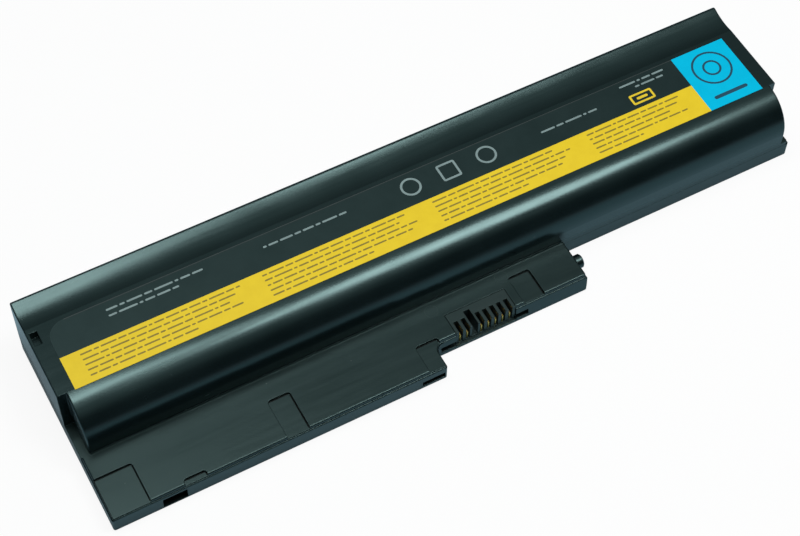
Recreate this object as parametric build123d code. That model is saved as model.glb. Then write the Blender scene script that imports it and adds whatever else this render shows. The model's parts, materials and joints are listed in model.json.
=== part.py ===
from build123d import *
from math import sqrt
import os

# A six-cell laptop battery: two rows of three round cells in a two-piece case,
# with a thin tongue in front that holds the circuit board and the connector.
# Lengths are millimetres. While it is modelled, X runs from the left end, Y from
# the front edge of the tongue and Z up from the base. Each piece is then moved so
# that the origin is the middle of the base.

# Cells
cell_diameter = 18.3
cell_length = 65.0
cells_in_row = 3
cell_button_radius = 3.0
cell_button_height = 0.8
cell_gap = 0.05
row_gap = 0.3

# Case walls
floor_thickness = 0.8
roof_thickness = 0.8
side_wall = 1.2
end_wall = 1.0
end_clearance = 0.3
seam_width = 0.1
seam_height = 0.1
corner_radius = 0.6
base_edge_chamfer = 0.15
lap_depth = 1.2
lap_thickness = 0.8
lap_clearance = 0.1
lap_end_margin = 8.0
side_lap_margin = 4.0

# Body form
hump_inset = 2.4
hump_right_inset = 1.8
hump_edge_radius = 0.5
foot_overhang = 0.8
foot_corner_radius = 0.7
ridge_foot = 2.2
cove_radius = 15.0
cove_bottom_from_crease = 2.4
crest_radius = 0.75
ear_edge_radius = 0.4
joint_tolerance = 0.01

# Tongue
tongue_depth = 18.5
tongue_length = 135.6
tongue_height = 6.0
tongue_plate = 1.1
step_from_left = 90.8
step_depth = 6.1
step_lean = 0.6
step_corner_radius = 2.3
rim_chamfer = 0.3
cover_setback = 0.3
cover_edge_radius = 0.4

# Shallow pads in the top of the tongue, open at its front edge
pad_depth = 0.7
pad_corner_radius = 0.9
corner_pad_width = 10.3
corner_pad_length = 11.8
notch_pad_from_left = 19.2
notch_pad_width = 6.0
notch_pad_length = 1.8
middle_pad_from_left = 46.4
middle_pad_width = 6.1
middle_pad_length = 11.7
step_pad_width = 5.0
step_pad_overlap = 1.4
step_pad_length = 8.3
right_pad_from_connector = 2.5
right_pad_width = 6.2
right_pad_length = 9.4

# Latch slots in the front wall, the pockets beside the connector and the guide peg
latch_depth = 2.0
latch_backing = 1.0
latch_width = 6.4
left_latch_from_left = 13.0
left_latch_floor = 0.5
left_latch_height = 3.5
right_latch_to_step = 0.7
right_latch_floor = 1.0
right_latch_height = 1.8
left_pocket_width = 4.4
right_pocket_width = 3.6
pocket_depth = 1.2
pocket_bottom = 1.2
pocket_height = 1.8
peg_radius = 1.9
peg_length = 2.1
peg_chamfer = 0.3
peg_from_front = 13.0
peg_below_parting = 0.05

# Hook pocket in the label flat at the left end
hook_pocket_wall = 0.9
hook_pocket_width = 2.0
hook_pocket_length = 3.9
hook_pocket_to_ridge = 1.4
hook_pocket_depth = 2.5

# Connector
contact_pitch = 2.06
contact_places = 8
key_place = 2
connector_from_step = 6.2
connector_cheek = 0.4
connector_clearance = 0.1
connector_depth = 6.05
connector_heel = 1.4
slot_width = 1.15
slot_length = 3.2
slot_floor = 0.4
key_width = 1.7
key_length = 4.9
blade_thickness = 0.35
blade_setback = 0.3
blade_height = 2.5
blade_root = 0.9
tail_height = 0.55
tail_on_board = 1.5

# Circuit board and what it carries, placed from the board's left front corner
board_thickness = 1.0
board_standoff = 0.8
board_wing_length = 32.0
board_wing_to_step = 8.8
board_wing_front = 3.2
board_to_tongue_end = 4.3
board_behind_tongue = 3.5
board_to_connector = 0.2
board_post_size = 3.0
chip_size = (6.4, 9.7, 1.1)
chip_place = (10.0, 8.3)
transistor_size = (5.0, 4.0, 1.6)
transistor_place = (20.0, 3.3)
transistor_spacing = 6.5
transistor_count = 2
fuse_size = (5.0, 3.2, 0.9)
fuse_place = (24.0, 9.8)
resistor_size = (6.4, 3.2, 0.6)
resistor_place = (38.0, 13.8)
component_chamfer = 0.1
sensor_radius = 0.9
sensor_height = 1.8
sensor_gap = 0.1
sensor_chamfer = 0.3
sensor_from_board_left = 50.0

# Nickel straps, leads, insulators and the foam behind the rear cells
strap_thickness = 0.2
strap_gap = 1.2
strap_height = 9.0
strap_corner = 1.2
strap_leg_width = 0.8
strap_arm_height = 2.6
lead_radius = 0.45
lead_overlap = 4.0
lead_gap = 0.1
lead_spacing = 0.1
insulator_thickness = 0.4
insulator_rim = 0.6
foam_thickness = 0.7
foam_height = 8.0
foam_clearance = 0.3
foam_end_margin = 8.0

# Label
label_thickness = 0.12
label_from_left = 4.75
label_from_right = 4.2
label_front_overlap = 0.2
label_back_from_rear_row = 0.9
label_corner_radius = 5.0
yellow_width = 9.7
blue_length = 16.3

# Sizes that follow from the ones above
cell_radius = cell_diameter / 2
row_pitch = cell_diameter + row_gap
hump_radius = cell_radius + cell_gap + roof_thickness
label_height = floor_thickness + cell_diameter + 2 * cell_gap + roof_thickness
cell_center_height = floor_thickness + cell_gap + cell_radius
parting_height = tongue_height - tongue_plate
front_row = tongue_depth + hump_radius
rear_row = front_row + row_pitch
pack_depth = rear_row + cell_radius + cell_gap + foam_thickness + side_wall
chain_length = (cells_in_row * cell_length + (cells_in_row - 1) * strap_gap
                + 2 * (strap_thickness + insulator_thickness))
chain_start = hump_inset + end_wall + end_clearance
body_length = chain_length + 2 * chain_start
pack_length = body_length + foot_overhang
first_cell = chain_start + insulator_thickness + strap_thickness
cell_step = cell_length + strap_gap
ridge_crease = rear_row + ridge_foot
step_rim = step_depth + step_lean
connector_front = step_rim + cover_setback
connector_from_left = step_from_left + connector_from_step
connector_width = contact_places * contact_pitch + 2 * connector_cheek
connector_right = connector_from_left + connector_width
connector_back = connector_front + connector_depth
window_left = connector_from_left - connector_clearance
window_right = connector_right + connector_clearance
board_bottom = floor_thickness + board_standoff
board_top = board_bottom + board_thickness
board_wing_right = step_from_left - board_wing_to_step
board_left = board_wing_right - board_wing_length
board_right = tongue_length - board_to_tongue_end
board_back = tongue_depth + board_behind_tongue
board_neck_front = connector_back + connector_heel + board_to_connector
lead_height = board_top + lead_radius
lead_drop = cell_center_height - lead_height
rear_lead = front_row - sqrt((cell_radius + lead_gap + lead_radius) ** 2 - lead_drop ** 2)
front_lead = rear_lead - 2 * lead_radius - lead_spacing


def block(x0, x1, y0, y1, z0, z1):
    """A box between two corners."""
    return Pos(x0, y0, z0) * Box(x1 - x0, y1 - y0, z1 - z0, align=(Align.MIN, Align.MIN, Align.MIN))


def plan_outline(inset, step):
    """The case seen from above, drawn inset from its outer face, with the step's wall at a depth."""
    left, right = inset, body_length - inset
    corners = [(left, inset), (step_from_left - inset, inset),
               (step_from_left - inset, step + inset), (tongue_length - inset, step + inset),
               (tongue_length - inset, tongue_depth + inset), (right, tongue_depth + inset),
               (right, pack_depth - inset), (left, pack_depth - inset)]
    return Polygon(*corners, align=None)


def plan_slab(inset, step, z0, z1):
    """The plan outline with its corners rounded, widest inside the step, as a slab between two heights."""
    step_corner = (step_from_left - inset, step + inset, 0)
    outline = plan_outline(inset, step)
    outline = fillet(outline.vertices().sort_by_distance(step_corner)[1:], corner_radius)
    outline = fillet(outline.vertices().sort_by_distance(step_corner)[0], step_corner_radius)
    return Pos(0, 0, z0) * extrude(outline, z1 - z0)


def body_only(solid):
    """The part of a solid that lies behind the tongue."""
    return solid & block(0, body_length, tongue_depth, pack_depth, 0, label_height)


def along_length(profile, x0, x1):
    """A profile drawn in depth and height, run along the pack between two places."""
    plane = Plane(origin=(x0, 0, 0), x_dir=(0, 1, 0), z_dir=(1, 0, 0))
    return extrude(plane * profile, x1 - x0)


def end_rounded(solid, radius):
    """The solid with the outer rim of both its ends rounded, except where it meets its neighbours."""
    ends = solid.faces().filter_by(Axis.X)
    rim = ShapeList(e for f in ends for e in f.edges() if e.center().Z > parting_height + radius
                    and not inside_joint(e))
    return fillet(rim, radius)


def inside_joint(edge):
    """True for the upright end edges where the hump and the label flat run into each other."""
    upright = abs(edge.tangent_at(0.5).Z) > 0.99
    return upright and abs(edge.center().Y - front_row) < joint_tolerance


def hump_outline(wall):
    """The front hump: an upright wall that turns into a quarter round, drawn inset by a wall."""
    radius = hump_radius - wall
    top = label_height - wall
    rise = Line((tongue_depth + wall, parting_height), (tongue_depth + wall, label_height - hump_radius))
    turn = RadiusArc(rise @ 1, (front_row, top), radius)
    close = Polyline(turn @ 1, (front_row, parting_height), rise @ 0)
    return make_face([rise, turn, close])


def rear_outline():
    """The label flat and the rear ridge: a shallow cove falls from the flat, then sweeps up to a crest."""
    cove_y = ridge_crease + cove_bottom_from_crease
    cove_z = label_height + sqrt(cove_radius ** 2 - cove_bottom_from_crease ** 2)
    crest_y = pack_depth - crest_radius
    crest_z = cove_z - sqrt((cove_radius + crest_radius) ** 2 - (crest_y - cove_y) ** 2)
    share = cove_radius / (cove_radius + crest_radius)
    meet = (cove_y + share * (crest_y - cove_y), cove_z + share * (crest_z - cove_z))
    flat = Line((front_row, label_height), (ridge_crease, label_height))
    cove = RadiusArc(flat @ 1, meet, -cove_radius)
    crest = RadiusArc(meet, (pack_depth, crest_z), crest_radius)
    close = Polyline(crest @ 1, (pack_depth, parting_height), (front_row, parting_height), flat @ 0)
    return make_face([flat, cove, crest, close])


def pad(x0, x1, y0, y1):
    """The cutter for a shallow pad: open at the front, with rounded inner corners."""
    depth = y1 - y0
    outline = Pos((x0 + x1) / 2, y0) * Rectangle(x1 - x0, 2 * depth)
    outline = fillet(outline.vertices(), min(pad_corner_radius, depth / 2))
    return Pos(0, 0, tongue_height - pad_depth) * extrude(outline, 2 * pad_depth)


def lower_case():
    """The tray: floor, walls up to the parting line, right foot, latch slots, connector bay and guide peg."""
    rim = parting_height - rim_chamfer
    seam = parting_height - seam_height
    tray = plan_slab(0, step_rim, 0, parting_height)
    tray = chamfer(tray.faces().sort_by(Axis.Z)[-1].edges(), rim_chamfer)
    tray = chamfer(tray.faces().sort_by(Axis.Z)[0].edges(), base_edge_chamfer)
    tray += body_only(plan_slab(0, step_rim, rim, seam))
    tray += body_only(plan_slab(seam_width, step_rim, seam, parting_height))
    lean = Polygon((step_depth + base_edge_chamfer, 0), (step_rim + side_wall, 0), (step_rim + side_wall, rim),
                   (step_rim, rim), (step_depth, base_edge_chamfer), align=None)
    tray += along_length(lean, step_from_left, tongue_length) & plan_slab(0, step_depth, 0, parting_height)
    foot = block(body_length - side_wall, pack_length, tongue_depth, pack_depth, 0, seam)
    foot = fillet(foot.edges().filter_by(Axis.Z).sort_by(Axis.X)[-2:], foot_corner_radius)
    foot = chamfer(foot.faces().sort_by(Axis.Z)[-1].edges(), rim_chamfer)
    tray += chamfer(foot.faces().sort_by(Axis.Z)[0].edges(), base_edge_chamfer)
    tray -= extrude(Pos(0, 0, floor_thickness) * plan_outline(side_wall, step_rim), parting_height)

    latch_back = latch_depth + latch_backing
    left_latch_right = left_latch_from_left + latch_width
    right_latch_right = step_from_left - right_latch_to_step
    right_latch_left = right_latch_right - latch_width
    tray += block(left_latch_from_left - latch_backing, left_latch_right + latch_backing,
                  side_wall, latch_back, floor_thickness, parting_height)
    tray += block(right_latch_left - latch_backing, step_from_left - side_wall,
                  side_wall, latch_back, floor_thickness, parting_height)
    tray -= block(left_latch_from_left, left_latch_right, -latch_depth, latch_depth,
                  left_latch_floor, left_latch_floor + left_latch_height)
    tray -= block(right_latch_left, right_latch_right, -latch_depth, latch_depth,
                  right_latch_floor, right_latch_floor + right_latch_height)

    pocket_back = step_depth + pocket_depth
    pocket_top = pocket_bottom + pocket_height
    tray -= block(window_left, window_right, 0, step_rim + side_wall, floor_thickness, parting_height)
    tray -= block(window_left - left_pocket_width, window_left, 0, pocket_back, pocket_bottom, pocket_top)
    tray -= block(window_right, window_right + right_pocket_width, 0, pocket_back, pocket_bottom, pocket_top)

    peg_center_height = parting_height - peg_below_parting - peg_radius
    boss_half = peg_radius + rim_chamfer
    tray += block(tongue_length - side_wall, tongue_length, peg_from_front - boss_half,
                  peg_from_front + boss_half, floor_thickness, parting_height)
    peg = Cylinder(peg_radius, side_wall + peg_length, align=(Align.CENTER, Align.CENTER, Align.MIN))
    peg = chamfer(peg.edges().filter_by(GeomType.CIRCLE).sort_by(Axis.Z)[-1], peg_chamfer)
    tray += Pos(tongue_length - side_wall, peg_from_front, peg_center_height) * Rot(0, 90, 0) * peg

    half = board_post_size / 2
    for x in (board_left + half, board_wing_right - half, board_right - half):
        tray += block(x - half, x + half, board_neck_front, board_neck_front + board_post_size,
                      floor_thickness, board_bottom)
    tray += block(board_left, board_wing_right, board_wing_front, board_wing_front + half,
                  floor_thickness, board_bottom)
    return tray


def cover_laps():
    """The ribs under the cover that drop inside the tray's walls and line the two halves up."""
    back = pack_depth - side_wall
    right = body_length - side_wall
    low = parting_height - lap_depth
    high = parting_height + lap_thickness
    x0, x1 = lap_end_margin, body_length - lap_end_margin
    y0, y1 = front_row + side_lap_margin, rear_row - side_lap_margin
    inner = lap_clearance + lap_thickness
    laps = block(x0, x1, back - inner, back, parting_height, high)
    laps += block(x0, x1, back - inner, back - lap_clearance, low, parting_height)
    laps += block(side_wall, side_wall + inner, y0, y1, parting_height, high)
    laps += block(side_wall + lap_clearance, side_wall + inner, y0, y1, low, parting_height)
    laps += block(right - inner, right, y0, y1, parting_height, high)
    laps += block(right - inner, right - lap_clearance, y0, y1, low, parting_height)
    return laps


def upper_cover():
    """The cover: tongue top, front hump, label flat with its end ears, and rear ridge."""
    plate = plan_slab(cover_setback, step_rim, parting_height, tongue_height)
    plate = fillet(plate.faces().sort_by(Axis.Z)[-1].edges(), cover_edge_radius)
    plate += body_only(plan_slab(0, step_rim, parting_height, tongue_height))
    hump = along_length(hump_outline(0), hump_inset, body_length - hump_right_inset)
    hump = end_rounded(hump, hump_edge_radius)
    rear = end_rounded(along_length(rear_outline(), 0, body_length), ear_edge_radius)
    cover = plate + hump + rear

    roof = label_height - roof_thickness
    x0, x1 = hump_inset + end_wall, body_length - hump_inset - end_wall
    back = pack_depth - side_wall
    hook_back = ridge_crease - hook_pocket_to_ridge
    hook_front = hook_back - hook_pocket_length
    cover -= along_length(hump_outline(roof_thickness), x0, x1)
    cover -= block(x0, x1, front_row, back, parting_height, roof)
    cover -= block(side_wall, body_length - side_wall, front_row + side_wall, hook_front - side_wall,
                   parting_height, roof)
    cover -= block(hook_pocket_wall, hook_pocket_wall + hook_pocket_width, hook_front, hook_back,
                   label_height - hook_pocket_depth, label_height)

    cover -= block(window_left, window_right, step_depth, connector_back + connector_clearance,
                   parting_height, tongue_height)
    cover -= pad(-corner_pad_width, corner_pad_width, 0, corner_pad_length)
    cover -= pad(notch_pad_from_left, notch_pad_from_left + notch_pad_width, 0, notch_pad_length)
    cover -= pad(middle_pad_from_left, middle_pad_from_left + middle_pad_width, 0, middle_pad_length)
    cover -= pad(step_from_left - step_pad_width, step_from_left + step_pad_overlap, 0, step_pad_length)
    right_pad_left = connector_right + right_pad_from_connector
    cover -= pad(right_pad_left, right_pad_left + right_pad_width,
                 step_depth, step_depth + right_pad_length)
    return cover + cover_laps()


def contact_place(index):
    """The X place of the middle of a connector position."""
    return connector_from_left + connector_cheek + (index + 0.5) * contact_pitch


def contact_blade(index):
    """One gold blade: an upright head in its slot and a tail back to the board."""
    middle = contact_place(index)
    half = blade_thickness / 2
    slot_bottom = floor_thickness + slot_floor
    head_front = connector_front + blade_setback
    head_back = connector_front + slot_length + blade_root
    head = block(middle - half, middle + half, head_front, head_back,
                 slot_bottom, slot_bottom + blade_height)
    tail = block(middle - half, middle + half, head_back, board_neck_front + tail_on_board,
                 board_top, board_top + tail_height)
    return head + tail


def connector_housing():
    """The moulded connector: upright fins between slots that are open above and in front."""
    front = connector_front
    slot_bottom = floor_thickness + slot_floor
    housing = block(connector_from_left, connector_right, front, connector_back,
                    floor_thickness, tongue_height)
    housing += block(connector_from_left, connector_right, connector_back, connector_back + connector_heel,
                     floor_thickness, parting_height)
    for index in range(contact_places):
        middle = contact_place(index)
        is_key = index == key_place
        half = (key_width if is_key else slot_width) / 2
        length = key_length if is_key else slot_length
        housing -= block(middle - half, middle + half, front, front + length, slot_bottom, tongue_height)
        if not is_key:
            housing -= contact_blade(index)
    return housing


def cell(column, row):
    """One round cell, positive button towards +X."""
    can_top = cell_length - cell_button_height
    profile = Polygon((0, 0), (cell_radius, 0), (cell_radius, can_top), (cell_button_radius, can_top),
                      (cell_button_radius, cell_length), (0, cell_length), align=None)
    can = revolve(Plane.XZ * profile, Axis.Z)
    return Pos(first_cell + column * cell_step, row, cell_center_height) * Rot(0, 90, 0) * can


def strap_outline():
    """The strip of nickel that spans the ends of both rows, its corners cut off."""
    strip = Rectangle(row_pitch + strap_height, strap_height)
    strip = Pos((front_row + rear_row) / 2, cell_center_height) * strip
    return chamfer(strip.vertices(), strap_corner)


def strap_plate(x0, leg, leg_bottom):
    """One flat of nickel across both rows, with an arm and a leg down to the wiring."""
    half_arm = strap_arm_height / 2
    arm_bottom = cell_center_height - half_arm
    arm_top = cell_center_height + half_arm
    outline = Polyline((leg, leg_bottom), (leg + strap_leg_width, leg_bottom),
                       (leg + strap_leg_width, arm_bottom), (front_row, arm_bottom),
                       (front_row, arm_top), (leg, arm_top), close=True)
    return along_length(strap_outline() + make_face(outline), x0, x0 + strap_thickness)


def link_strap(column, leg):
    """The folded strap between two columns of cells: two flats joined by a bend along the top."""
    x0 = first_cell + column * cell_step + cell_length
    top = cell_center_height + strap_height / 2
    strap = strap_plate(x0, leg, board_top)
    strap += along_length(strap_outline(), x0 + strap_gap - strap_thickness, x0 + strap_gap)
    strap += block(x0, x0 + strap_gap, front_row, rear_row, top - strap_thickness, top)
    return strap


def end_insulator(x0):
    """The paper sheet between an end strap and the case, cut to the two rows of cells."""
    lobes = Pos((front_row + rear_row) / 2, cell_center_height) * SlotCenterToCenter(
        row_pitch, cell_diameter - 2 * insulator_rim)
    return along_length(lobes, x0, x0 + insulator_thickness)


def lead(x0, x1, y):
    """A straight insulated lead that lies on the board at one end and meets a strap's leg at the other."""
    return Pos(x0, y, lead_height) * Rot(0, 90, 0) * Cylinder(
        lead_radius, x1 - x0, align=(Align.CENTER, Align.CENTER, Align.MIN))


def circuit_board():
    """The board: a wide wing left of the step and a narrow neck behind the connector."""
    wing = block(board_left, board_wing_right, board_wing_front, board_back, board_bottom, board_top)
    neck = block(board_wing_right, board_right, board_neck_front, board_back, board_bottom, board_top)
    return wing + neck


def on_board(size, place):
    """A component of a given size, standing on the board with its middle at a place."""
    body = Box(*size, align=(Align.CENTER, Align.CENTER, Align.MIN))
    body = chamfer(body.faces().sort_by(Axis.Z)[-1].edges(), component_chamfer)
    return Pos(board_left + place[0], board_wing_front + place[1], board_top) * body


def temperature_sensor():
    """The sensor bead that stands on the board, its head against the front row of cells."""
    drop = cell_center_height - board_top - sensor_height
    cell_face = front_row - sqrt((cell_radius + sensor_gap) ** 2 - drop ** 2)
    bead = Cylinder(sensor_radius, sensor_height, align=(Align.CENTER, Align.CENTER, Align.MIN))
    bead = chamfer(bead.edges().filter_by(GeomType.CIRCLE).sort_by(Axis.Z)[-1], sensor_chamfer)
    return Pos(board_left + sensor_from_board_left, cell_face - sensor_radius, board_top) * bead


def label_films():
    """The printed label as three flush fields: dark, yellow and blue."""
    right = body_length - label_from_right
    front = front_row - label_front_overlap
    back = rear_row + label_back_from_rear_row
    blue_left = right - blue_length
    yellow_back = front + yellow_width
    dark = Pos(label_from_left, yellow_back) * Rectangle(
        blue_left - label_from_left, back - yellow_back, align=(Align.MIN, Align.MIN))
    dark = fillet(dark.vertices().sort_by(Axis.X)[:2].sort_by(Axis.Y)[-1], label_corner_radius)
    yellow = Pos(label_from_left, front) * Rectangle(
        blue_left - label_from_left, yellow_width, align=(Align.MIN, Align.MIN))
    blue = Pos(blue_left, front) * Rectangle(blue_length, back - front, align=(Align.MIN, Align.MIN))
    fields = {"label_dark_field": dark, "label_yellow_field": yellow, "label_blue_field": blue}
    return {name: Pos(0, 0, label_height) * extrude(face, label_thickness) for name, face in fields.items()}


def all_pieces():
    """Every piece of the pack by name."""
    pieces = {"lower_case": lower_case(), "upper_cover": upper_cover(),
              "connector_housing": connector_housing(), "circuit_board": circuit_board()}
    blades = [i for i in range(contact_places) if i != key_place]
    for number, index in enumerate(blades, 1):
        pieces[f"contact_blade_{number}"] = contact_blade(index)

    for row_name, row in (("front", front_row), ("rear", rear_row)):
        for column in range(cells_in_row):
            pieces[f"{row_name}_cell_{column + 1}"] = cell(column, row)

    last_face = first_cell + (cells_in_row - 1) * cell_step + cell_length
    leg_front = front_lead - strap_leg_width / 2
    leg_rear = rear_lead - strap_leg_width / 2
    pieces["negative_strap"] = strap_plate(chain_start + insulator_thickness, leg_front, board_top)
    pieces["positive_strap"] = strap_plate(last_face, leg_rear, board_top)
    for column in range(cells_in_row - 1):
        pieces[f"link_strap_{column + 1}"] = link_strap(column, leg_front)
    pieces["left_insulator"] = end_insulator(chain_start)
    pieces["right_insulator"] = end_insulator(last_face + strap_thickness)

    link_face = first_cell + (cells_in_row - 2) * cell_step + cell_length
    pieces["negative_lead"] = lead(first_cell, board_left + lead_overlap, front_lead)
    pieces["middle_lead"] = lead(min(board_right, link_face) - lead_overlap, link_face, front_lead)
    pieces["positive_lead"] = lead(board_right - lead_overlap, last_face, rear_lead)

    pieces["gauge_chip"] = on_board(chip_size, chip_place)
    for index in range(transistor_count):
        place = (transistor_place[0] + index * transistor_spacing, transistor_place[1])
        pieces[f"switch_transistor_{index + 1}"] = on_board(transistor_size, place)
    pieces["board_fuse"] = on_board(fuse_size, fuse_place)
    pieces["sense_resistor"] = on_board(resistor_size, resistor_place)
    pieces["temperature_sensor"] = temperature_sensor()
    foam_back = pack_depth - side_wall
    foam_bottom = parting_height + lap_thickness + foam_clearance
    pieces["foam_strip"] = block(foam_end_margin, body_length - foam_end_margin,
                                 foam_back - foam_thickness, foam_back,
                                 foam_bottom, foam_bottom + foam_height)
    pieces.update(label_films())
    return pieces


os.makedirs("parts", exist_ok=True)
to_origin = Pos(-pack_length / 2, -pack_depth / 2, 0)
for name, piece in all_pieces().items():
    export_step(to_origin * piece, f"parts/{name}.step")
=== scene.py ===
import bpy
import bmesh
import json
import math
from mathutils import Matrix, Vector


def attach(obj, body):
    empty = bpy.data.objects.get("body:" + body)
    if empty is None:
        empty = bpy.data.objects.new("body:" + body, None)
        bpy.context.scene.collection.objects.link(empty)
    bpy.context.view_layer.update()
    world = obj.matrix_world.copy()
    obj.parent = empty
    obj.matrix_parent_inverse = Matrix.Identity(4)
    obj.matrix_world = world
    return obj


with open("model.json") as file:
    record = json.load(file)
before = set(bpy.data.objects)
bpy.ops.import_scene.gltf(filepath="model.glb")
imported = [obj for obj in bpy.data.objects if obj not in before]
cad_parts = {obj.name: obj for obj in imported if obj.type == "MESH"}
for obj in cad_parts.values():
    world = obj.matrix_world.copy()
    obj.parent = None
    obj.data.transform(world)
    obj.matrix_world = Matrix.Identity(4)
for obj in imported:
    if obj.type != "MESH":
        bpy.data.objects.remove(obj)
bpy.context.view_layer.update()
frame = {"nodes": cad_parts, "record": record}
nodes = frame["nodes"]

# Places on the pack are millimetres from its left front corner, which lies here in the shared frame.
CORNER = Vector((-103.4, -29.1, 0.0))

# Heights of the solids that the added pieces lie on
LABEL_TOP = 20.12
TONGUE_TOP = 6.0
PAD_FLOOR = 5.3
RIM_TOP = 4.9

# The hump's front, the tray's front right of the step, and the tongue's right end
HUMP_FRONT = 18.5
STEP_FRONT = 6.7
TONGUE_END = 135.0

# Straight pieces in a quarter round of a profile, a quarter round of an outline, a bar's end and a circle
ARC_STEPS, CORNER_STEPS, BAR_STEPS, CIRCLE_STEPS = 8, 4, 4, 40


def at(x, y, z):
    """A place in millimetres from the corner, as metres in the shared frame."""
    return (Vector((x, y, z)) + CORNER) / 1000


# Shader helpers
# The range that holds most values of a noise
USUAL = (0.3, 0.7)
# The sockets for colours on a Mix node
COLOR_A, COLOR_B, COLOR_OUT = 6, 7, 2


def new_material(name, base, roughness, specular=0.5, metallic=0.0):
    """A material whose constant values sit on the shader's own sockets."""
    mat = bpy.data.materials.new(name)
    mat.use_nodes = True
    bsdf = mat.node_tree.nodes["Principled BSDF"]
    bsdf.inputs["Base Color"].default_value = (*base, 1)
    bsdf.inputs["Roughness"].default_value = roughness
    bsdf.inputs["Specular IOR Level"].default_value = specular
    bsdf.inputs["Metallic"].default_value = metallic
    return mat, mat.node_tree, bsdf


def add(tree, kind, links=None, sockets=None, **properties):
    """A node with its properties and socket values set, and its inputs linked."""
    made = tree.nodes.new(kind)
    for key, value in properties.items():
        setattr(made, key, value)
    for key, value in (sockets or {}).items():
        made.inputs[key].default_value = value
    for key, source in (links or {}).items():
        tree.links.new(source, made.inputs[key])
    return made


def coords(tree, scale=(1, 1, 1)):
    """Object coordinates in metres, stretched."""
    place = add(tree, "ShaderNodeTexCoord")
    mapping = add(tree, "ShaderNodeMapping", {"Vector": place.outputs["Object"]}, {"Scale": scale})
    return mapping.outputs["Vector"]


def noise(tree, vector, scale, detail=3.0):
    """A soft random field."""
    made = add(tree, "ShaderNodeTexNoise", {"Vector": vector}, {"Scale": scale, "Detail": detail})
    return made.outputs["Fac"]


def ramp(tree, factor, source, target):
    """A number mapped from one range to another, clamped."""
    limits = {"From Min": source[0], "From Max": source[1], "To Min": target[0], "To Max": target[1]}
    return add(tree, "ShaderNodeMapRange", {"Value": factor}, limits, clamp=True).outputs["Result"]


def maths(tree, operation, a, b):
    """Two numbers, each a value or a socket, put together."""
    made = add(tree, "ShaderNodeMath", operation=operation)
    for socket, value in zip(made.inputs, (a, b)):
        if isinstance(value, (int, float)):
            socket.default_value = value
        else:
            tree.links.new(value, socket)
    return made.outputs["Value"]


def mix_color(tree, factor, a, b):
    """Two colours, each a value or a socket, mixed by a factor."""
    made = add(tree, "ShaderNodeMix", {"Factor": factor}, data_type="RGBA")
    for index, value in ((COLOR_A, a), (COLOR_B, b)):
        if isinstance(value, tuple):
            made.inputs[index].default_value = (*value, 1)
        else:
            tree.links.new(value, made.inputs[index])
    return made.outputs[COLOR_OUT]


def bump(tree, bsdf, height, strength, distance, normal=None):
    """Fine relief on the shader's normal."""
    links = {"Height": height}
    if normal is not None:
        links["Normal"] = normal
    made = add(tree, "ShaderNodeBump", links, {"Strength": strength, "Distance": distance})
    tree.links.new(made.outputs["Normal"], bsdf.inputs["Normal"])


# Materials
DUST = (0.20, 0.23, 0.22)
# The heights in metres between which the rougher finish of the tongue and the tray ends, and the share of
# the dark colour that their base colour keeps below them
DULL_END = (0.0061, 0.0066)
LOW_COLOR_SHARE = 0.4
# The radius in metres of the soft edges that the plastic's shader draws
EDGE_RADIUS = 0.00025


def moulded_plastic(name, dark, pale, roughness, tint, specular=0.5, dull=0.0):
    """Dark moulded plastic: a fine spark texture, faint mottling, drag marks along the length and dust.

    dull is the roughness that the tongue and the tray have beyond the hump's.
    """
    mat, tree, bsdf = new_material(name, pale, roughness, specular)
    bsdf.inputs["Specular Tint"].default_value = (*tint, 1)
    plain = coords(tree)
    mottle = noise(tree, plain, scale=70, detail=4)
    drag = noise(tree, coords(tree, (0.06, 1, 1)), scale=900, detail=3)
    grain = noise(tree, plain, scale=5200, detail=2)
    color = mix_color(tree, ramp(tree, mottle, USUAL, (0, 1)), dark, pale)
    shine = maths(tree, "ADD", ramp(tree, mottle, USUAL, (-0.02, 0.02)),
                  ramp(tree, drag, (0.35, 0.65), (roughness - 0.02, roughness + 0.03)))
    if dull:
        height = add(tree, "ShaderNodeSeparateXYZ", {"Vector": plain}).outputs["Z"]
        low = ramp(tree, height, DULL_END, (1, 0))
        # Below the tongue's top the base colour is also darker, set by height alone.
        color = mix_color(tree, low, color, tuple(c * LOW_COLOR_SHARE for c in dark))
        shine = maths(tree, "ADD", shine, maths(tree, "MULTIPLY", low, dull))
    dust = add(tree, "ShaderNodeTexVoronoi", {"Vector": plain}, {"Scale": 130})
    speck = ramp(tree, dust.outputs["Distance"], (0.012, 0.03), (0.35, 0))
    tree.links.new(mix_color(tree, speck, color, DUST), bsdf.inputs["Base Color"])
    tree.links.new(shine, bsdf.inputs["Roughness"])
    edge = add(tree, "ShaderNodeBevel", sockets={"Radius": EDGE_RADIUS}, samples=4)
    bump(tree, bsdf, grain, strength=0.10, distance=0.00003, normal=edge.outputs["Normal"])
    return mat


def printed_film(name, base, deep, roughness, specular=0.5, tint=(1, 1, 1)):
    """Label film: an even print with faint ink mottling and a fine orange-peel gloss."""
    mat, tree, bsdf = new_material(name, base, roughness, specular)
    bsdf.inputs["Specular Tint"].default_value = (*tint, 1)
    plain = coords(tree)
    ink = ramp(tree, noise(tree, plain, scale=420, detail=4), (0.35, 0.75), (0, 1))
    gloss = ramp(tree, noise(tree, plain, scale=120), USUAL, (roughness - 0.03, roughness + 0.04))
    tree.links.new(mix_color(tree, ink, base, deep), bsdf.inputs["Base Color"])
    tree.links.new(gloss, bsdf.inputs["Roughness"])
    bump(tree, bsdf, noise(tree, plain, scale=1500, detail=2), strength=0.05, distance=0.00003)
    return mat


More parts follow.
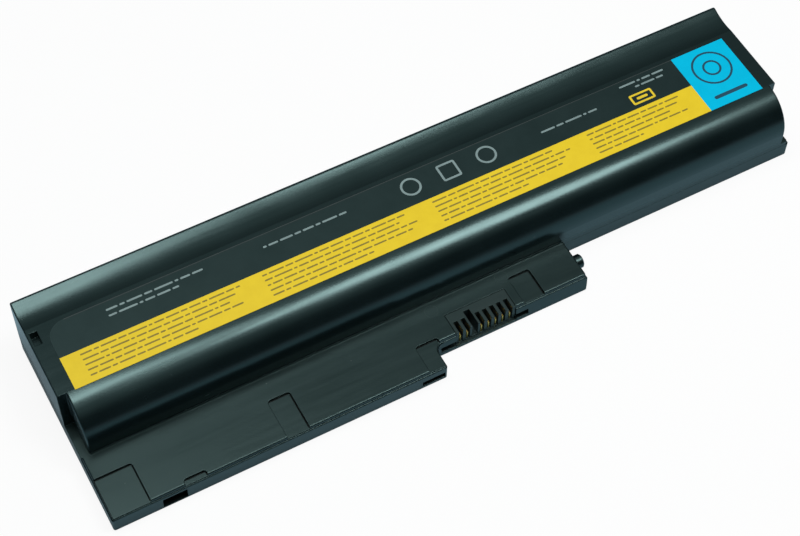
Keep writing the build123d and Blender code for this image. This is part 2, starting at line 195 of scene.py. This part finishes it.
def speckled(name, base, other, roughness, scale, relief, metallic=0.0, stretch=(1, 1, 1), specular=0.5):
    """A plain stock material with its own colour variation and surface relief."""
    mat, tree, bsdf = new_material(name, base, roughness, specular, metallic)
    grain = noise(tree, coords(tree, stretch), scale, detail=4)
    color = mix_color(tree, ramp(tree, grain, USUAL, (0, 1)), base, other)
    tree.links.new(color, bsdf.inputs["Base Color"])
    tree.links.new(ramp(tree, grain, USUAL, (roughness - 0.06, roughness + 0.06)), bsdf.inputs["Roughness"])
    bump(tree, bsdf, grain, strength=0.3, distance=relief)
    return mat


TINT = (0.60, 0.92, 0.90)
YELLOW = (0.84, 0.60, 0.016)
# Two colours, roughness, tint, specular level, dullness
PLASTICS = {
    "case_plastic": ((0.0036, 0.0074, 0.0080), (0.0052, 0.0100, 0.0108), 0.23, TINT, 0.7, 0.09),
    "connector_plastic": ((0.007, 0.010, 0.010), (0.012, 0.016, 0.016), 0.42, TINT),
}
# Two colours, roughness, scale of the grain, its relief in metres, metallic share, stretch
STOCK = {
    "contact_gold": ((0.72, 0.50, 0.13), (0.60, 0.38, 0.08), 0.28, 2400, 0.00001, 1.0),
    "cell_sleeve": ((0.06, 0.15, 0.26), (0.05, 0.12, 0.22), 0.30, 300, 0.00002),
    "nickel": ((0.60, 0.57, 0.52), (0.48, 0.46, 0.42), 0.32, 900, 0.00002, 1.0, (1, 1, 0.05)),
    "paper_board": ((0.17, 0.21, 0.15), (0.13, 0.17, 0.12), 0.85, 1800, 0.00004),
    "foam": ((0.006, 0.006, 0.006), (0.018, 0.018, 0.018), 0.95, 2600, 0.0001),
    "circuit_laminate": ((0.004, 0.055, 0.018), (0.006, 0.075, 0.026), 0.32, 1200, 0.00002),
    "component_black": ((0.006, 0.006, 0.007), (0.012, 0.012, 0.013), 0.55, 2600, 0.00003),
    "component_pale": ((0.60, 0.57, 0.48), (0.50, 0.47, 0.40), 0.40, 1500, 0.00002),
    "lead_red": ((0.35, 0.010, 0.008), (0.28, 0.008, 0.006), 0.42, 1500, 0.00002),
    "lead_black": ((0.006, 0.006, 0.006), (0.012, 0.012, 0.012), 0.42, 1500, 0.00002),
    "lead_white": ((0.62, 0.62, 0.58), (0.54, 0.54, 0.50), 0.42, 1500, 0.00002),
}
# Two colours, roughness, specular level, tint
FILMS = {
    "label_dark": ((0.0062, 0.0125, 0.0130), (0.0076, 0.0150, 0.0156), 0.40, 0.5, TINT),
    "label_yellow": (YELLOW, (0.80, 0.565, 0.014), 0.45, 0.35),
    "label_blue": ((0.0, 0.50, 0.77), (0.0, 0.47, 0.73), 0.45, 0.35, (0.2, 0.9, 1.0)),
}
materials = {}
for make, table in ((moulded_plastic, PLASTICS), (speckled, STOCK), (printed_film, FILMS)):
    materials.update({name: make(name, *values) for name, values in table.items()})
case_plastic = materials["case_plastic"]

slot_of = {part["node"]: part["material_slot"] for part in frame["record"]["subparts"]}
for name, obj in nodes.items():
    obj.data.materials.clear()
    obj.data.materials.append(materials[slot_of[name]])


# Pieces that lie on the solids
# The thickness of the print, its roughness and the share of its darker tone
INK, INK_ROUGHNESS, INK_DEEP = 0.015, 0.5, 0.85


def new_piece(name, mat, bm):
    """A mesh that rides on the pack, with its material and slot."""
    bmesh.ops.recalc_face_normals(bm, faces=bm.faces)
    mesh = bpy.data.meshes.new(name)
    bm.to_mesh(mesh)
    bm.free()
    mesh.materials.append(mat)
    piece = bpy.data.objects.new(name, mesh)
    bpy.context.scene.collection.objects.link(piece)
    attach(piece, "root")


def walls(bm, a, b):
    """Faces between two loops of equal count."""
    for i in range(len(a)):
        j = (i + 1) % len(a)
        bm.faces.new((a[i], a[j], b[j], b[i]))


def plates(name, mat, low, high, outlines, rings=()):
    """Thin closed plates between two heights, from outlines and from pairs of loops."""
    bm = bmesh.new()
    for outline in outlines:
        top, base = ([bm.verts.new(at(x, y, z)) for x, y in outline] for z in (high, low))
        walls(bm, top, base)
        bm.faces.new(top)
        bm.faces.new(base)
    for outer, inner in rings:
        loops = [[bm.verts.new(at(x, y, z)) for x, y in loop]
                 for z in (high, low) for loop in (outer, inner)]
        for a, b in ((0, 1), (1, 3), (3, 2), (2, 0)):
            walls(bm, loops[a], loops[b])
    new_piece(name, mat, bm)


def film_piece(name, color, outlines, rings=()):
    """One colour of print on the label."""
    ink = printed_film(name + "_ink", color, tuple(c * INK_DEEP for c in color), INK_ROUGHNESS)
    plates(name, ink, LABEL_TOP, LABEL_TOP + INK, outlines, rings)


def strips(name, mat, runs):
    """Closed strips along the length, each from a profile in depth and height and its two ends."""
    bm = bmesh.new()
    for profile, x0, x1 in runs:
        ends = [[bm.verts.new(at(x, y, z)) for y, z in profile] for x in (x0, x1)]
        walls(bm, *ends)
        bm.faces.new(ends[0])
        bm.faces.new(ends[1])
    new_piece(name, mat, bm)


# Profiles and outlines
# The radius that the inner loop of an outline keeps at least
LEAST_RADIUS = 0.05


def arc(y, z, radius, start, stop):
    """Points of a round in depth and height, between two angles in degrees."""
    turns = [math.radians(start + (stop - start) * k / ARC_STEPS) for k in range(ARC_STEPS + 1)]
    return [(y + radius * math.cos(a), z + radius * math.sin(a)) for a in turns]


def bar(x0, x1, y, height):
    """A bar with round ends, along the length and centred on a depth."""
    r = height / 2
    turns = [k * math.pi / BAR_STEPS for k in range(BAR_STEPS + 1)]
    left = [(x0 + r - r * math.sin(a), y + r * math.cos(a)) for a in turns]
    right = [(x1 - r + r * math.sin(a), y - r * math.cos(a)) for a in turns]
    return left + right


def rounded(x0, x1, y0, y1, r):
    """A rectangle with round corners."""
    corners = ((x1 - r, y1 - r, 0), (x0 + r, y1 - r, 90), (x0 + r, y0 + r, 180), (x1 - r, y0 + r, 270))
    points = []
    for cx, cy, start in corners:
        for k in range(CORNER_STEPS + 1):
            a = math.radians(start + 90 * k / CORNER_STEPS)
            points.append((cx + r * math.cos(a), cy + r * math.sin(a)))
    return points


def circle(x, y, r):
    """A circle around a place."""
    turns = [2 * math.pi * k / CIRCLE_STEPS for k in range(CIRCLE_STEPS)]
    return [(x + r * math.cos(a), y + r * math.sin(a)) for a in turns]


def ring(x, y, outer, inner):
    """The two loops of a ring."""
    return circle(x, y, outer), circle(x, y, inner)


def frame_ring(x0, x1, y0, y1, r, line):
    """The two loops of a rectangular outline with round corners."""
    inner = rounded(x0 + line, x1 - line, y0 + line, y1 - line, max(r - line, LEAST_RADIUS))
    return rounded(x0, x1, y0, y1, r), inner


# Moulding: the round where the hump stands on the tongue. It reaches into the solids by SINK.
FOOT, FOOT_LEFT, SINK = 0.45, 2.6, 0.06
hump_foot = [(HUMP_FRONT + SINK, TONGUE_TOP - SINK), (HUMP_FRONT + SINK, TONGUE_TOP + FOOT)]
hump_foot += arc(HUMP_FRONT - FOOT, TONGUE_TOP + FOOT, FOOT, 0, -90)
hump_foot.append((HUMP_FRONT - FOOT, TONGUE_TOP - SINK))
strips("hump_foot_round", case_plastic, [(hump_foot, FOOT_LEFT, TONGUE_END)])

# The rounded rim of the tray, which reaches back into the wall by RIM_LAP and down by RIM_DROP
RIM_ROUND, RIM_LAP, RIM_DROP = 0.3, 0.04, 0.02
# Each stretch of rim: the depth of its front face and its two ends
RIMS = ((0.0, 0.7, 90.1), (STEP_FRONT, 93.2, 96.9), (STEP_FRONT, 114.4, TONGUE_END))


def rim_round(y):
    """The profile of the rim on a wall whose front face is at a depth."""
    back = y + RIM_ROUND + RIM_LAP
    middle = RIM_TOP - RIM_ROUND
    return [(back, middle - RIM_DROP), (back, RIM_TOP)] + arc(y + RIM_ROUND, middle, RIM_ROUND, 90, 180)


strips("tray_rim_round", case_plastic, [(rim_round(y), x0, x1) for y, x0, x1 in RIMS])

# Ejector marks on the tongue's top
MARKS = ((94.6, 15.7), (115.5, 16.5))
MARK_OUTER, MARK_INNER = 1.85, 1.62
MARK_SINK, MARK_RISE = 0.01, 0.012
mark_plastic = moulded_plastic("mark_plastic", (0.012, 0.020, 0.020), (0.018, 0.028, 0.028), 0.35, TINT)
plates("ejector_marks", mark_plastic, TONGUE_TOP - MARK_SINK, TONGUE_TOP + MARK_RISE, [],
       [ring(x, y, MARK_OUTER, MARK_INNER) for x, y in MARKS])

# Painted shade: near-black strips along the walls of the pads, where shade falls in their recesses.
# Each pad: its two ends, where its left and right walls start, its back.
PADS = ((-2.0, 10.3, 0.7, 0.7, 11.8), (19.2, 25.2, 0.7, 0.7, 1.8), (46.4, 52.5, 0.7, 0.7, 11.7),
        (85.8, 92.2, 0.7, 7.4, 8.3), (116.78, 122.98, 7.4, 7.4, 15.5))
LINE_WIDTH, LINE_INSET, LINE_LEFT = 0.26, 0.02, 0.4
LINE_SINK, LINE_RISE = 0.02, 0.015


def pad_shade_band(x0, x1, left, right, back):
    """The painted shade along the left, back and right walls of a pad: one bent band, thinner at the left.
    """
    x0, x1, back = max(x0, LINE_LEFT), x1 - LINE_INSET, back - LINE_INSET
    thin, front = x0 + LINE_WIDTH / 2, back - LINE_WIDTH
    inner = x1 - LINE_WIDTH
    return [(x0, left), (thin, left), (thin, front), (inner, front), (inner, right), (x1, right),
            (x1, back), (x0, back)]


# A near-black material for the painted shade in the pads.
shade = speckled("pad_painted_shade_material", (0.0012, 0.0018, 0.0018), (0.0020, 0.0028, 0.0028), 0.7, 900, 0.00002,
                 specular=0.15)
plates("pad_painted_shade", shade, PAD_FLOOR - LINE_SINK, PAD_FLOOR + LINE_RISE,
       [pad_shade_band(*pad) for pad in PADS])

# Print on the label: rows of plain bars of these lengths, and simple outlines
WORDS = (3.1, 1.4, 4.2, 2.2, 5.0, 1.0, 2.7, 3.6, 1.8)
SHORTEST, GAP_SHARE = 1.0, 0.9
FINE_BAR, BROAD_BAR = 0.46, 0.55
# Blocks on the yellow field: their two ends, the depths of their rows, and how far the rows end short
BLOCKS = ((9.5, 52.0), (58.0, 100.0), (106.0, 146.0), (152.0, 181.0))
ROWS = (36.6, 35.0, 33.4, 31.8, 30.2)
LAST_ROW_SHORT, RAGGED = 14.0, 2.0
# Rows on the dark field: their two ends, their depth, and the bar that they start with
GREY_ROWS = ((20.0, 46.0, 45.4, 0), (20.0, 40.0, 43.6, 3), (62.0, 86.0, 44.2, 5), (142.0, 160.0, 43.0, 2),
             (168.0, 182.0, 46.2, 4), (172.0, 182.0, 44.6, 1))


def dashes(x0, x1, y, height, first):
    """A row of bars of uneven length that fills a stretch."""
    row = []
    x, index = x0, first
    while x < x1 - SHORTEST:
        length = min(WORDS[index % len(WORDS)], x1 - x)
        row.append(bar(x, x + length, y, height))
        x += length + height * GAP_SHARE
        index += 1
    return row


yellow_rows = []
for block, (x0, x1) in enumerate(BLOCKS):
    for row, y in enumerate(ROWS):
        short = LAST_ROW_SHORT if row == len(ROWS) - 1 else RAGGED * ((row + block) % 3)
        yellow_rows += dashes(x0, x1 - short, y, FINE_BAR, row * 2 + block)
film_piece("label_print_brown", (0.27, 0.20, 0.016), yellow_rows)

grey_rows = []
for x0, x1, y, first in GREY_ROWS:
    grey_rows += dashes(x0, x1, y, BROAD_BAR, first)
film_piece("label_print_grey", (0.22, 0.30, 0.30), grey_rows,
           [frame_ring(112.0, 117.4, 40.8, 46.2, 0.6, 0.6), ring(103.6, 43.5, 2.8, 2.2),
            ring(125.8, 43.5, 2.8, 2.2)])
film_piece("label_film_edge", (0.026, 0.038, 0.038), [bar(9.9, 185.4, 47.88, 0.2)])
film_piece("label_print_yellow", YELLOW, [bar(170.2, 173.6, 40.9, 0.8)],
           [frame_ring(168.5, 175.3, 39.2, 42.6, 0.5, 0.6)])
film_piece("label_print_navy", (0.0, 0.06, 0.11), [bar(188.6, 199.0, 31.4, 1.1)],
           [ring(193.8, 40.6, 5.6, 5.0), ring(193.8, 40.6, 2.6, 2.0)])

# Floor: white to the camera, and a dimmer blue-grey in the pack's reflections, which fades towards the front
FLOOR_HALF, FLOOR_Z = 8.0, -0.0002
FLOOR_NEAR, FLOOR_FAR, FLOOR_SEEN = (0.27, 0.49, 0.60), (0.15, 0.16, 0.21), (0.9, 0.9, 0.9)
FLOOR_FADE = (-0.06, -0.18)
# How much of the floor is plain white for the camera, and in reflections
SEEN_SHARE, MIRRORED_SHARE = 0.90, 0.14
floor_corners = [(x * FLOOR_HALF, y * FLOOR_HALF, FLOOR_Z) for x, y in ((-1, -1), (1, -1), (1, 1), (-1, 1))]
floor_mesh = bpy.data.meshes.new("floor")
floor_mesh.from_pydata(floor_corners, [], [(0, 1, 2, 3)])
floor = bpy.data.objects.new("floor", floor_mesh)
bpy.context.scene.collection.objects.link(floor)
paper = bpy.data.materials.new("floor_paper")
paper.use_nodes = True
tree = paper.node_tree
tree.nodes.clear()
path = add(tree, "ShaderNodeLightPath")
place = add(tree, "ShaderNodeNewGeometry")
ground = add(tree, "ShaderNodeSeparateXYZ", {"Vector": place.outputs["Position"]})
away = ramp(tree, ground.outputs["Y"], FLOOR_FADE, (0, 1))
tone = mix_color(tree, away, FLOOR_NEAR, FLOOR_FAR)
tone = mix_color(tree, path.outputs["Is Camera Ray"], tone, FLOOR_SEEN)
sheet = add(tree, "ShaderNodeBsdfDiffuse", {"Color": tone})
glow = add(tree, "ShaderNodeEmission", sockets={"Color": (1, 1, 1, 1), "Strength": 1.0})
mirrored = maths(tree, "MAXIMUM", path.outputs["Is Glossy Ray"], path.outputs["Is Transmission Ray"])
share = maths(tree, "MAXIMUM", maths(tree, "MULTIPLY", path.outputs["Is Camera Ray"], SEEN_SHARE),
              maths(tree, "MULTIPLY", mirrored, MIRRORED_SHARE))
blend = add(tree, "ShaderNodeMixShader", {0: share, 1: sheet.outputs["BSDF"], 2: glow.outputs["Emission"]})
add(tree, "ShaderNodeOutputMaterial", {"Surface": blend.outputs["Shader"]})
floor_mesh.materials.append(paper)

# World: a dim room that brightens overhead, by the height of a direction
ROOM_HEIGHTS, ROOM_LIGHT = (0.55, 0.95), (0.015, 0.46)
world = bpy.data.worlds.new("studio")
bpy.context.scene.world = world
world.use_nodes = True
tree = world.node_tree
sky = tree.nodes["Background"]
place = add(tree, "ShaderNodeTexCoord")
axes = add(tree, "ShaderNodeSeparateXYZ", {"Vector": place.outputs["Generated"]})
tree.links.new(ramp(tree, axes.outputs["Z"], ROOM_HEIGHTS, ROOM_LIGHT), sky.inputs["Strength"])
sky.inputs["Color"].default_value = (0.82, 1.0, 1.0, 1)


def softbox(name, place, size, watts, aim):
    """A rectangular lamp aimed at a place, in metres."""
    lamp = bpy.data.lights.new(name, "AREA")
    lamp.shape = "RECTANGLE"
    lamp.size, lamp.size_y = size
    lamp.energy = watts
    obj = bpy.data.objects.new(name, lamp)
    obj.location = place
    obj.rotation_euler = (Vector(aim) - obj.location).to_track_quat("-Z", "Y").to_euler()
    bpy.context.scene.collection.objects.link(obj)


softbox("softbox_right", (0.21, -0.12, 0.62), (0.20, 0.28), watts=2.05, aim=(0.02, 0.0, 0.0))
softbox("softbox_left", (-0.09, 0.07, 0.62), (0.22, 0.26), watts=1.40, aim=(-0.05, 0.0, 0.0))

# Camera at the photo's angle. The focal length is in pixels of an image 800 wide.
AZIMUTH, ELEVATION, ROLL = math.radians(-29.412), math.radians(56.005), math.radians(1.224)
DISTANCE, TARGET = 0.491085, Vector((-0.007474, 0.005516, 0.0))
SENSOR, FOCAL_PIXELS, IMAGE_WIDTH = 36.0, 1883.34, 800
back = Vector((math.sin(AZIMUTH) * math.cos(ELEVATION), -math.cos(AZIMUTH) * math.cos(ELEVATION),
               math.sin(ELEVATION)))
side = Vector((math.cos(AZIMUTH), math.sin(AZIMUTH), 0))
up = back.cross(side)
right = side * math.cos(ROLL) + up * math.sin(ROLL)
above = up * math.cos(ROLL) - side * math.sin(ROLL)
lens = bpy.data.cameras.new("camera")
lens.sensor_fit = "HORIZONTAL"
lens.sensor_width = SENSOR
lens.lens = SENSOR * FOCAL_PIXELS / IMAGE_WIDTH
lens.clip_start = 0.01
camera = bpy.data.objects.new("camera", lens)
eye = TARGET + back * DISTANCE
camera.matrix_world = Matrix(((right.x, above.x, back.x, eye.x), (right.y, above.y, back.y, eye.y),
                              (right.z, above.z, back.z, eye.z), (0, 0, 0, 1)))
bpy.context.scene.collection.objects.link(camera)
bpy.context.scene.camera = camera
bpy.context.scene.view_settings.view_transform = "Standard"

bpy.context.view_layer.update()
